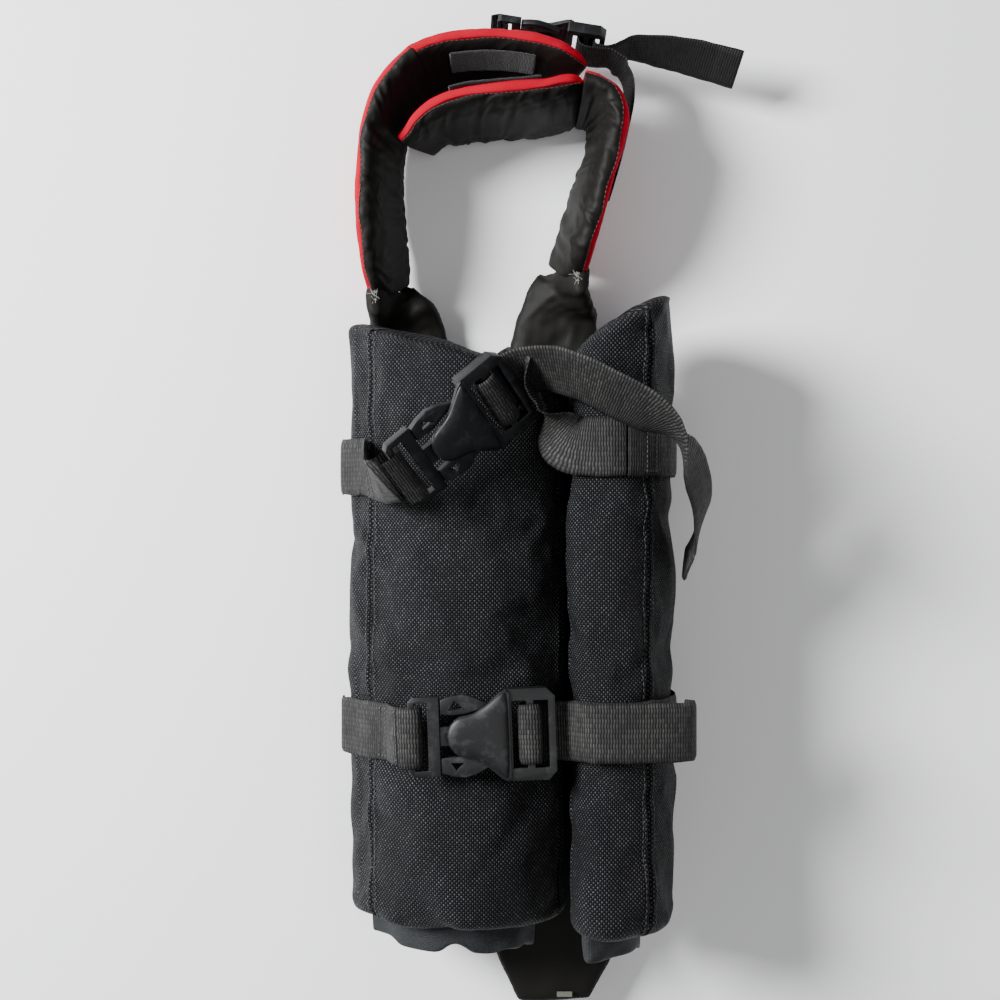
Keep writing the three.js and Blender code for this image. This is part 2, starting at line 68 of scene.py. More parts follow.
lamp("window", (-1.05, 0.4, 0.95), 0.55, 64, (0.97, 0.98, 1.0))
lamp("bounce", (0.3, -0.2, 1.3), 0.9, 4, (1.0, 0.96, 0.92))
world = bpy.data.worlds.new("room")
world.use_nodes = True
world.node_tree.nodes["Background"].inputs["Color"].default_value = (0.9, 0.94, 1.0, 1)
world.node_tree.nodes["Background"].inputs["Strength"].default_value = 0.33
scene.world = world


def link_mesh(name, mesh):
    obj = bpy.data.objects.new(name, mesh)
    scene.collection.objects.link(obj)
    return obj


def tools(tree):
    """Short ways to place a node with its inputs and to place a sum in a node tree."""
    def put(kind, *inputs, out=0, **settings):
        node = tree.nodes.new(kind)
        for key, value in settings.items():
            setattr(node, key, value)
        for slot, value in enumerate(inputs):
            if isinstance(value, bpy.types.NodeSocket):
                tree.links.new(value, node.inputs[slot])
            elif value is not None:
                node.inputs[slot].default_value = value
        return node.outputs[out]

    def calc(operation, *inputs):
        return put("ShaderNodeMath", *inputs, operation=operation)

    return put, calc


def new_material(name, roughness, **constants):
    """A material with its shader's plain numbers set; returns it with its shader and node tools."""
    material = bpy.data.materials.new(name)
    material.use_nodes = True
    shader = material.node_tree.nodes["Principled BSDF"]
    shader.inputs["Roughness"].default_value = roughness
    for key, value in constants.items():
        shader.inputs[key.replace("_", " ")].default_value = value
    put, calc = tools(material.node_tree)
    return material, shader, put, calc


floor_finish, floor_shader, put, calc = new_material("floor_paint", 0.85)
mottle = put("ShaderNodeTexNoise", put("ShaderNodeTexCoord", out=3), None, 3.0)
tint = put("ShaderNodeMapRange", mottle, 0.0, 1.0, 0.93, 0.96)
floor_finish.node_tree.links.new(put("ShaderNodeCombineColor", tint, tint, tint), floor_shader.inputs["Base Color"])
floor_mesh = bpy.data.meshes.new("floor")
floor_mesh.from_pydata([(-3, -3, 0), (3, -3, 0), (3, 3, 0), (-3, 3, 0)], [], [(0, 1, 2, 3)])
floor_mesh.materials.append(floor_finish)
link_mesh("floor", floor_mesh)

# ---- Side pads ----
# Two long foam pads in coarse ballistic nylon: a face panel and a gusset meet in a raised seam, and each
# end is drawn in to a flat sewn edge. The cloth is inflated a little over the foam and puckers at the seams.


def smooth_line(points, count):
    """Evenly numbered points on a centripetal curve through the given ones."""
    given = np.array(points, float)
    held = np.vstack([2 * given[0] - given[1], given, 2 * given[-1] - given[-2]])
    line = []
    for t in np.linspace(0, len(given) - 1, count):
        k = min(int(t), len(given) - 2)
        f = t - k
        p0, p1, p2, p3 = held[k:k + 4]
        a, b, c = (np.linalg.norm(q - p) ** 0.5 for p, q in ((p0, p1), (p1, p2), (p2, p3)))
        go = ((p1 - p0) / a - (p2 - p0) / (a + b) + (p2 - p1) / b) * b
        come = ((p2 - p1) / b - (p3 - p1) / (b + c) + (p3 - p2) / c) * b
        line.append((2 * p1 - 2 * p2 + go + come) * f ** 3 + (3 * p2 - 3 * p1 - 2 * go - come) * f ** 2 + go * f + p1)
    return np.array(line)


def loft(name, rows, uvs, capped=True, fold=1):
    """A closed skin over rows of points that each run once round the piece, with a cloth map in metres.
    An end is closed by a ladder of faces between the two halves of its row; fold says where they part."""
    count, around = rows.shape[:2]
    faces = []
    where = []
    for i in range(count - 1):
        for j in range(around):
            k = (j + 1) % around
            faces.append((i * around + j, i * around + k, (i + 1) * around + k, (i + 1) * around + j))
            where += [uvs[i, j], uvs[i, j + 1], uvs[i + 1, j + 1], uvs[i + 1, j]]
    if capped:
        start = (around - fold + 1) // 2
        pairs = [((start + i) % around, (around - fold - start - i) % around) for i in range(around // 2)]
        for base, turn in ((0, 1), ((count - 1) * around, -1)):
            for (a, b), (c, d) in zip(pairs, pairs[1:]):
                faces.append(tuple(base + k for k in (a, c, d, b)[::turn]))
                where += [uvs[0 if base == 0 else -1, k] for k in (a, c, d, b)[::turn]]
    mesh = bpy.data.meshes.new(name)
    mesh.from_pydata(rows.reshape(-1, 3).tolist(), [], faces)
    mesh.uv_layers.new(name="cloth").data.foreach_set("uv", np.array(where, np.float32).ravel())
    work = bmesh.new()
    work.from_mesh(mesh)
    bmesh.ops.remove_doubles(work, verts=work.verts, dist=2e-5)
    bmesh.ops.recalc_face_normals(work, faces=work.faces)
    work.to_mesh(mesh)
    work.free()
    mesh.shade_smooth()
    return link_mesh(name, mesh)


def points_of(obj):
    co = np.empty(len(obj.data.vertices) * 3, np.float32)
    obj.data.vertices.foreach_get("co", co)
    return co.reshape(-1, 3).astype(float)


def set_points(obj, co):
    obj.data.vertices.foreach_set("co", co.astype(np.float32).ravel())
    obj.data.update()


def push_out(obj, amounts):
    """Moves every point along its normal by its own amount."""
    normal = np.empty(len(obj.data.vertices) * 3, np.float32)
    obj.data.vertices.foreach_get("normal", normal)
    set_points(obj, points_of(obj) + normal.reshape(-1, 3) * np.asarray(amounts)[:, None])


def finish_modifiers(obj):
    """Applies a piece's modifiers for good."""
    graph = bpy.context.evaluated_depsgraph_get()
    mesh = bpy.data.meshes.new_from_object(obj.evaluated_get(graph), preserve_all_data_layers=True, depsgraph=graph)
    obj.modifiers.clear()
    obj.data = mesh
    return obj


def refine(obj, levels):
    step = obj.modifiers.new("refine", "SUBSURF")
    step.levels = step.render_levels = levels
    return finish_modifiers(obj)


def inflate(obj, pressure, most, free, grow=0.0):
    """Fills the cloth with air for a moment. free is 1 where a point may move and 0 on a sewn line."""
    rest = points_of(obj)
    held = obj.vertex_groups.new(name="held")
    for index, amount in enumerate(free):
        held.add([index], float(1 - amount), "REPLACE")
    cloth = obj.modifiers.new("cloth", "CLOTH")
    cloth.settings.quality = 5
    cloth.settings.mass = 0.25
    cloth.settings.tension_stiffness = cloth.settings.compression_stiffness = 12
    cloth.settings.shear_stiffness = 6
    cloth.settings.bending_stiffness = 0.3
    cloth.settings.use_pressure = True
    cloth.settings.uniform_pressure_force = pressure
    cloth.settings.effector_weights.gravity = 0
    cloth.settings.vertex_group_mass = "held"
    cloth.settings.shrink_min = -grow
    cloth.collision_settings.use_self_collision = False
    for step in range(1, 21):
        scene.frame_set(step)
    graph = bpy.context.evaluated_depsgraph_get()
    moved = obj.evaluated_get(graph).to_mesh()
    co = np.empty(len(moved.vertices) * 3, np.float32)
    moved.vertices.foreach_get("co", co)
    obj.evaluated_get(graph).to_mesh_clear()
    shift = np.nan_to_num(co.reshape(-1, 3).astype(float) - rest)
    length = np.linalg.norm(shift, axis=1, keepdims=True)
    shift *= most * np.tanh(length / most) / np.maximum(length, 1e-9)
    obj.modifiers.clear()
    obj.vertex_groups.clear()
    scene.frame_set(1)
    set_points(obj, rest + shift)


def ripple(co, size, seed, octaves=3):
    """Smooth lumps between about -1 and 1 at every point; size is the width of one lump."""
    rng = np.random.default_rng(int(seed * 10))
    where = np.asarray(co) / np.broadcast_to(size, 3)
    total = np.zeros(len(where))
    for octave in range(octaves):
        for _ in range(8):
            way = rng.normal(size=3)
            way *= 3.0 * 2 ** octave / np.linalg.norm(way)
            total += np.sin(where @ way + rng.uniform(0, 2 * math.pi)) * 0.5 ** octave
    return total / 4.5


def map_of(obj):
    """Each point's place on the cloth map."""
    loops = np.empty(len(obj.data.loops), np.int32)
    obj.data.loops.foreach_get("vertex_index", loops)
    uv = np.empty(len(loops) * 2, np.float32)
    obj.data.uv_layers["cloth"].data.foreach_get("uv", uv)
    place = np.zeros((len(obj.data.vertices), 2))
    place[loops] = uv.reshape(-1, 2)
    return place


weave = bpy.data.node_groups.new("weave", "ShaderNodeTree")
for socket, kind in (("Place", "NodeSocketVector"), ("Pitch", "NodeSocketFloat")):
    weave.interface.new_socket(socket, in_out="INPUT", socket_type=kind)
for socket in ("Height", "Glint", "Float"):
    weave.interface.new_socket(socket, in_out="OUTPUT", socket_type="NodeSocketFloat")
put, calc = tools(weave)
entry = weave.nodes.new("NodeGroupInput")
split = weave.nodes.new("ShaderNodeSeparateXYZ")
weave.links.new(entry.outputs["Place"], split.inputs[0])
warp = calc("DIVIDE", split.outputs[0], entry.outputs["Pitch"])
weft = calc("DIVIDE", split.outputs[1], entry.outputs["Pitch"])
warp_cell = calc("FLOOR", warp)
weft_cell = calc("FLOOR", weft)
over = calc("MULTIPLY", calc("FRACT", calc("MULTIPLY", calc("ADD", warp_cell, weft_cell), 0.5)), 2.0)
warp_round = calc("SINE", calc("MULTIPLY", calc("FRACT", warp), math.pi))
weft_round = calc("SINE", calc("MULTIPLY", calc("FRACT", weft), math.pi))
warp_top = calc("MULTIPLY", warp_round, calc("MULTIPLY_ADD", weft_round, 0.55, 0.45))
weft_top = calc("MULTIPLY", weft_round, calc("MULTIPLY_ADD", warp_round, 0.55, 0.45))
top = calc("ADD", calc("MULTIPLY", over, warp_top), calc("MULTIPLY", calc("SUBTRACT", 1.0, over), weft_top))
# Painted highlight: the warp floats are made bright and the weft floats kept at 0.22 of that, as if light caught the
# warp.
lit = calc("ADD", calc("MULTIPLY", over, warp_top), calc("MULTIPLY", calc("MULTIPLY", calc("SUBTRACT", 1.0, over), weft_top), 0.22))
cell = put("ShaderNodeCombineXYZ", warp_cell, weft_cell, 0.0)
chance = put("ShaderNodeTexWhiteNoise", cell)
leave = weave.nodes.new("NodeGroupOutput")
weave.links.new(top, leave.inputs["Height"])
weave.links.new(chance, leave.inputs["Glint"])
weave.links.new(lit, leave.inputs["Float"])


def woven(material, put, place, pitch):
    """Places the weave group in a material; gives its height, its per-thread chance and its painted highlight on the
    floats.
    """
    node = material.node_tree.nodes.new("ShaderNodeGroup")
    node.node_tree = weave
    material.node_tree.links.new(place, node.inputs["Place"])
    node.inputs["Pitch"].default_value = pitch
    return node.outputs


def blend_colour(put, factor, low, high):
    return put("ShaderNodeMix", factor, None, None, None, None, None, low, high, out=2, data_type="RGBA")


nylon, shader, put, calc = new_material("ballistic_nylon", 0.6, Specular_IOR_Level=0.12)
cloth_place = put("ShaderNodeUVMap", uv_map="cloth")
height, glint, float_highlight = woven(nylon, put, cloth_place, 0.00093)
broad = put("ShaderNodeTexNoise", put("ShaderNodeTexCoord", out=3), None, 38.0, 3.0)
# Painted highlight: the bright floats, varied per thread and by a broad noise, lighten the near-black base towards a
# grey-blue sheen.
thread = calc("MULTIPLY", calc("MULTIPLY_ADD", calc("POWER", glint, 3.0), 0.55, 0.4), calc("POWER", float_highlight, 2.6))
light = calc("MULTIPLY", thread, calc("MULTIPLY_ADD", broad, 1.1, 0.3))
links = nylon.node_tree.links
links.new(blend_colour(put, light, (0.0012, 0.0013, 0.0016, 1), (0.13, 0.135, 0.144, 1)), shader.inputs["Base Color"])
links.new(put("ShaderNodeMapRange", thread, 0.0, 1.0, 0.6, 0.36), shader.inputs["Roughness"])
bump = nylon.node_tree.nodes.new("ShaderNodeBump")
bump.inputs["Strength"].default_value = 0.85
bump.inputs["Distance"].default_value = 0.0004
links.new(height, bump.inputs["Height"])
links.new(bump.outputs[0], shader.inputs["Normal"])

PAD_HALF = 0.017
PAD_FOOT = -0.1845
strap_bands = {"left": (0.0145, -0.099), "right": (0.022, -0.0955)}


def section(line, half, outer_side, cap_steps=10):
    """One row round a pad: the outer face, the free edge, the inner face and the hinge edge."""
    run = np.gradient(line, axis=0)
    run /= np.linalg.norm(run, axis=1, keepdims=True)
    side = np.stack([-run[:, 1], run[:, 0]], 1) * outer_side
    turn = np.linspace(0, math.pi, cap_steps + 2)[1:-1]
    far = [line[-1] + half * (side[-1] * math.cos(a) + run[-1] * math.sin(a)) for a in turn]
    near = [line[0] + half * (-side[0] * math.cos(a) - run[0] * math.sin(a)) for a in turn]
    return np.vstack([line + side * half, far, (line - side * half)[::-1], near])


def make_pad(name, centreline, outer_side, top, seam_x, slope, seams):
    line = smooth_line(np.array(centreline) / 1000, 29)
    steps = np.concatenate([np.linspace(0, 0.05, 7)[:-1], np.linspace(0.05, 0.95, 42), np.linspace(0.95, 1, 7)[1:]])
    full = section(line, PAD_HALF, outer_side)
    gaps = np.linalg.norm(np.roll(full, -1, axis=0) - full, axis=1)
    along = np.concatenate([[0], np.cumsum(gaps)])
    rows, uvs = [], []
    for v in steps:
        length = top - PAD_FOOT
        reach = min(v * length / 0.011, (1 - v) * length / 0.008, 1)
        half = PAD_HALF * max(0, 1 - (1 - reach) ** 2.6) ** 0.5
        row = section(line, half, outer_side)
        y = PAD_FOOT + v * (top - slope * (row[:, 0] - seam_x) - PAD_FOOT)
        rows.append(np.stack([row[:, 0], y, row[:, 1]], 1))
        uvs.append(np.stack([along, np.append(y, y[0])], 1))
    pad = loft(name, np.array(rows), np.array(uvs), capped=False)
    co = points_of(pad)
    place = map_of(pad)[:, 0]
    off_seam = np.min([np.abs(place - s) for s in seams], axis=0)
    off_strap = np.min([np.abs(co[:, 1] - y) for y in strap_bands[name.split("_")[0]]], axis=0)
    ends = np.minimum(co[:, 1] - PAD_FOOT, 0.1) > 0.004
    free = np.clip(off_seam / 0.0032, 0, 1) * np.clip((off_strap - 0.011) / 0.01, 0.15, 1) * ends
    inflate(pad, 3.0, 0.0028, free, 0.03)
    refine(pad, 2)
    co = points_of(pad)
    place = map_of(pad)[:, 0]
    off_strap = np.min([np.abs(co[:, 1] - y) for y in strap_bands[name.split("_")[0]]], axis=0)
    clear_of_strap = np.clip((off_strap - 0.012) / 0.012, 0, 1)
    amount = (ripple(co, (0.03, 0.05, 0.03), 3.1) * 0.0013 + ripple(co, (0.012, 0.02, 0.012), 8.2) * 0.0004)
    amount = amount * clear_of_strap - 0.0006 * (1 - clear_of_strap)
    for s in seams:
        off = place - s
        pucker = 1 + 0.35 * np.sin(co[:, 1] / 0.0011 + 3 * ripple(co, 0.02, 5.0, 1))
        amount -= 0.001 * np.exp(-(off / 0.0008) ** 2) * pucker
        amount += 0.0004 * np.exp(-((np.abs(off) - 0.0019) / 0.001) ** 2) * clear_of_strap
    push_out(pad, amount)
    pad.data.materials.append(nylon)
    body = name.replace("_pad", "_side")
    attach(pad, body)
    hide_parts(body + "_cover", body + "_foam")
    return pad, full, along


LEFT_LINE = [[-50, 40.5], [-38, 55], [-13, 66], [6, 60], [13, 51]]
RIGHT_LINE = [[55.5, 40.5], [57.5, 58], [54, 72], [47, 79]]
left_pad, left_full, left_along = make_pad("left_pad", LEFT_LINE, 1, 0.076, -0.052, 0.31, (0.013, 0.108))
right_pad, right_full, right_along = make_pad("right_pad", RIGHT_LINE, -1, 0.085, 0.062, -0.62, (0.054, 0.098))

# ---- Hem bindings ----
# Dark tape folded over the flat foot of each pad and sewn through; its lower edge waves where it was pulled.
tape, shader, put, calc = new_material("hem_tape", 0.62, Specular_IOR_Level=0.3)
height, glint, float_highlight = woven(tape, put, put("ShaderNodeUVMap", uv_map="cloth"), 0.0006)
links = tape.node_tree.links
links.new(blend_colour(put, glint, (0.003, 0.0036, 0.0042, 1), (0.0105, 0.0135, 0.0145, 1)), shader.inputs["Base Color"])
bump = tape.node_tree.nodes.new("ShaderNodeBump")
bump.inputs["Strength"].default_value = 0.5
bump.inputs["Distance"].default_value = 0.0003
links.new(height, bump.inputs["Height"])
links.new(bump.outputs[0], shader.inputs["Normal"])


def make_hem(name, centreline, outer_side):
    line = smooth_line(np.array(centreline) / 1000, 70)
    reach = np.concatenate([[0], np.cumsum(np.linalg.norm(np.diff(line, axis=0), axis=1))])
    rows, uvs = [], []
    depths = [(0.0035, 0.0019), (0.0015, 0.0026), (0, 0.0027), (-0.003, 0.0025), (-0.006, 0.0022),
              (-0.0085, 0.0021), (-0.0105, 0.0019), (-0.0113, 0.001)]
    for depth, half in depths:
        row = section(line, half, outer_side, 4)
        flat = np.stack([row[:, 0], np.full(len(row), depth), row[:, 1]], 1)
        wave = ripple(flat * (1, 0, 1), 0.013, 2.3, 2)
        lift = ripple(flat, 0.014, 7.7, 2)
        y = -0.184 + depth + wave * 0.0034 * (-depth / 0.011)
        x = row[:, 0] + lift * 0.0005
        z = row[:, 1] + lift * 0.0018 * min(1, -depth / 0.006 + 0.2)
        rows.append(np.stack([x, np.maximum(y, -0.1952), z], 1))
        s = np.linspace(0, 2 * reach[-1], len(row) + 1)
        uvs.append(np.stack([s, np.full(len(row) + 1, depth)], 1))
    hem = loft(name, np.array(rows), np.array(uvs), fold=5)
    refine(hem, 1)
    hem.data.materials.append(tape)
    body = name.replace("_hem", "_side")
    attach(hem, body)
    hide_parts(name + "_binding")
    return hem


left_hem = make_hem("left_hem", [[-55, 34]] + LEFT_LINE, 1)
right_hem = make_hem("right_hem", [[55.5, 40.5], [59, 58], [53, 73], [37, 80]], -1)

# ---- Back panel ----
# A flat foam slab in nylon with a satin lining on the dog's side; its tail end is a narrow flap with a small
# sewn tab. The slab is soft, so its edges round over and its faces are slightly uneven.
satin, shader, put, calc = new_material("satin_lining", 0.6, Specular_IOR_Level=0.16)
place = put("ShaderNodeTexCoord", out=3)
painted_sheen = put("ShaderNodeTexNoise", place, None, 60.0, 4.0)
links = satin.node_tree.links
# Painted sheen: a noise lightens the warm black satin in patches towards olive-brown; it also varies the roughness.
links.new(blend_colour(put, painted_sheen, (0.0042, 0.004, 0.0034, 1), (0.0075, 0.0068, 0.0052, 1)), shader.inputs["Base Color"])
links.new(put("ShaderNodeMapRange", painted_sheen, 0.3, 0.7, 0.58, 0.64), shader.inputs["Roughness"])
grain = put("ShaderNodeTexNoise", place, None, 900.0, 2.0)
bump = satin.node_tree.nodes.new("ShaderNodeBump")
bump.inputs["Strength"].default_value = 0.3
bump.inputs["Distance"].default_value = 0.0002
links.new(grain, bump.inputs["Height"])
links.new(bump.outputs[0], shader.inputs["Normal"])


def softened(name, nodes, voxel, smoothing):
    """One soft form over the given solids: joined, skinned afresh and smoothed."""
    whole = bmesh.new()
    for node in nodes:
        whole.from_mesh(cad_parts[node].data)
    bmesh.ops.remove_doubles(whole, verts=whole.verts, dist=1e-6)
    mesh = bpy.data.meshes.new(name)
    whole.to_mesh(mesh)
    whole.free()
    obj = link_mesh(name, mesh)
    skin = obj.modifiers.new("skin", "REMESH")
    skin.mode = "VOXEL"
    skin.voxel_size = voxel
    soft = obj.modifiers.new("soft", "SMOOTH")
    soft.factor = 0.5
    soft.iterations = smoothing
    finish_modifiers(obj)
    obj.data.shade_smooth()
    return obj


def box_map(obj):
    """A cloth map in metres laid on each face from the side that it looks to."""
    layer = obj.data.uv_layers.new(name="cloth")
    co = points_of(obj)
    flat = np.zeros((len(obj.data.loops), 2), np.float32)
    for face in obj.data.polygons:
        facing = int(np.argmax(np.abs(face.normal)))
        keep = [axis for axis in range(3) if axis != facing]
        flat[face.loop_indices] = co[list(face.vertices)][:, keep]
    layer.data.foreach_set("uv", flat.ravel())


back = softened("back_panel", ["back_cover", "back_foam", "back_lining"], 0.002, 16)
co = points_of(back)
top_side = co[:, 2] > 0.012
push_out(back, np.where(top_side, 0.0009 * ripple(co, (0.02, 0.03, 0.02), 4.4) - 0.0006, 0))
box_map(back)
back.data.materials.append(nylon)
back.data.materials.append(satin)
lining_faces = [p.index for p in back.data.polygons if p.center.z > 0.0195 and p.normal.z > 0.6]
for index in lining_faces:
    back.data.polygons[index].material_index = 1
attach(back, "back")
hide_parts("back_cover", "back_foam", "back_lining")

label, shader, put, calc = new_material("blank_tab", 0.7)
height, glint, float_highlight = woven(label, put, put("ShaderNodeTexCoord", out=3), 0.0004)
# Painted shade: with no bump, the weave's height alone darkens the gaps between threads and lightens the thread tops.
label.node_tree.links.new(
    blend_colour(put, height, (0.07, 0.072, 0.055, 1), (0.16, 0.165, 0.13, 1)), shader.inputs["Base Color"])
tab = softened("tail_label", ["tail_tab"], 0.00025, 2)
tab.data.materials.append(label)
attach(tab, "back")
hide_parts("tail_tab")

# ---- Shoulders ----
# Short folded straps of satin-faced cloth between the back panel and the collar. They twist on edge where
# they meet the collar, so the cloth gathers there in soft folds.
for side, ribs in (("left", 1.0), ("right", -1.0)):
    shoulder = softened(side + "_shoulder_cloth", [side + "_shoulder"], 0.0011, 8)
    co = points_of(shoulder)
    slant = co @ np.array([0.6 * ribs, 0.5, 0.6])
    folds = 1 - np.abs(ripple(np.stack([slant, co[:, 1] * 0.3, co[:, 2] * 0.3], 1), 0.0065, 12.0, 2)) * 2
    crowd = np.clip((co[:, 1] - 0.062) / 0.01, 0, 1)
    push_out(shoulder, (folds * 0.0006 + ripple(co, 0.01, 2.0) * 0.0005) * crowd)
    smooth_again = shoulder.modifiers.new("ease", "SMOOTH")
    smooth_again.iterations = 2
    finish_modifiers(shoulder)
    shoulder.data.materials.append(satin)
    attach(shoulder, "back")
    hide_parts(side + "_shoulder")

# ---- Collar ----
# A padded band on edge: crimson cloth round the outside and over the top, warm black satin on the dog's
# side. The two are sewn together in a wavy seam, and the satin is loose, so it lies in cross folds.


def strip_rows(node, corners):
    """The rows of corners a swept solid was made from, in order from one end to the other."""
    work = bmesh.new()
    work.from_mesh(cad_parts[node].data)
    bmesh.ops.remove_doubles(work, verts=work.verts, dist=1e-6)
    work.verts.ensure_lookup_table()
    rows = []
    ends = sorted(work.verts, key=lambda v: len(v.link_edges))[:2 * corners]
    start = ends[0]
    first = sorted(ends, key=lambda v: (v.co - start.co).length)[:corners]
    seen = set(first)
    middle = sum((v.co for v in first), Vector()) / corners
    spoke = start.co - middle
    normal = (first[1].co - start.co).cross(first[2].co - start.co).normalized()
    turn = {v: math.atan2(normal.dot(spoke.cross(v.co - middle)), spoke.dot(v.co - middle)) for v in first}
    first = sorted(first, key=turn.get)
    row = first
    while True:
        rows.append([v.co.copy() for v in row])
        around = {e.other_vert(v) for v in row for e in v.link_edges} - seen
        if len(around) < corners:
            break
        row = min(itertools.permutations(around, corners),
                  key=lambda found: sum((new.co - old.co).length for new, old in zip(found, row)))
        seen |= around
    work.free()
    return np.array(rows)


crimson, shader, put, calc = new_material("crimson_cloth", 0.8, Specular_IOR_Level=0.08)
lie = put("ShaderNodeMapping", put("ShaderNodeUVMap", uv_map="cloth"), None, (0.0, 0.0, 0.2))
height, glint, float_highlight = woven(crimson, put, lie, 0.00075)
dust = put("ShaderNodeTexNoise", put("ShaderNodeTexCoord", out=3), None, 70.0, 4.0)
# Painted highlight on the floats, mixed with a random dust noise, lightens the crimson.
float_highlight_and_dust = calc("MULTIPLY_ADD", float_highlight, 0.75, calc("MULTIPLY", dust, 0.35))
links = crimson.node_tree.links
links.new(blend_colour(put, float_highlight_and_dust, (0.25, 0.0003, 0.007, 1), (0.62, 0.0012, 0.028, 1)), shader.inputs["Base Color"])
bump = crimson.node_tree.nodes.new("ShaderNodeBump")
bump.inputs["Strength"].default_value = 0.5
bump.inputs["Distance"].default_value = 0.0003
links.new(height, bump.inputs["Height"])
links.new(bump.outputs[0], shader.inputs["Normal"])


def band_frames(name, count):
    """Places along a collar band: the middle of its thickness, its two directions, its half sizes and its run."""
    inner = strip_rows(name + "_lining", 4)
    core = strip_rows(name + "_foam", 4)
    if np.linalg.norm(inner[0].mean(0) - core[0].mean(0)) > np.linalg.norm(inner[-1].mean(0) - core[0].mean(0)):
        core = core[::-1]
    middle = inner.mean(1)
    out = core.mean(1) - middle
    out /= np.linalg.norm(out, axis=1, keepdims=True)
    across = np.cross(np.gradient(middle, axis=0), out)
    across /= np.linalg.norm(across, axis=1, keepdims=True)
    across *= np.sign(across[:, 2:3])
    reach = np.einsum("ijk,ik->ij", inner - middle[:, None], across)
    half = (reach.max(1) - reach.min(1)) / 2
    deep = np.einsum("ijk,ik->ij", core - middle[:, None], out).max(1) + 0.0015 + 0.00065
    middle = middle + out * (deep / 2 - 0.00065)[:, None]
    middle[0] -= (middle[1] - middle[0]) / np.linalg.norm(middle[1] - middle[0]) * 0.0013
    lap = 0.0007 if name.endswith("flap") else 0.0013
    middle[-1] += (middle[-1] - middle[-2]) / np.linalg.norm(middle[-1] - middle[-2]) * lap
    run = np.concatenate([[0], np.cumsum(np.linalg.norm(np.diff(middle, axis=0), axis=1))])
    ticks = np.sort(np.append(np.linspace(0, run[-1], count - 2), (0.0005, run[-1] - 0.0005)))

    def even(values):
        return np.stack([np.interp(ticks, run, values[:, k]) for k in range(values.shape[1])], 1)

    return (even(middle), even(across), even(out), np.interp(ticks, run, half),
            np.interp(ticks, run, deep / 2), ticks)


def profile(angle, half, thick):
    """A point on the padded section: across and out of the band, for an angle from its outer face."""
    c, s = np.cos(angle), np.sin(angle)
    return np.sign(s) * np.abs(s) ** 0.45 * half, np.sign(c) * np.abs(c) ** 0.7 * thick


def tip_close(left, reach):
    """How far a rounded tip has closed in, with this much of the band left."""
    share = max(0.0, 1 - left / reach)
    return (1 - share ** 2.2) ** 0.5 if share < 1 else 0.08


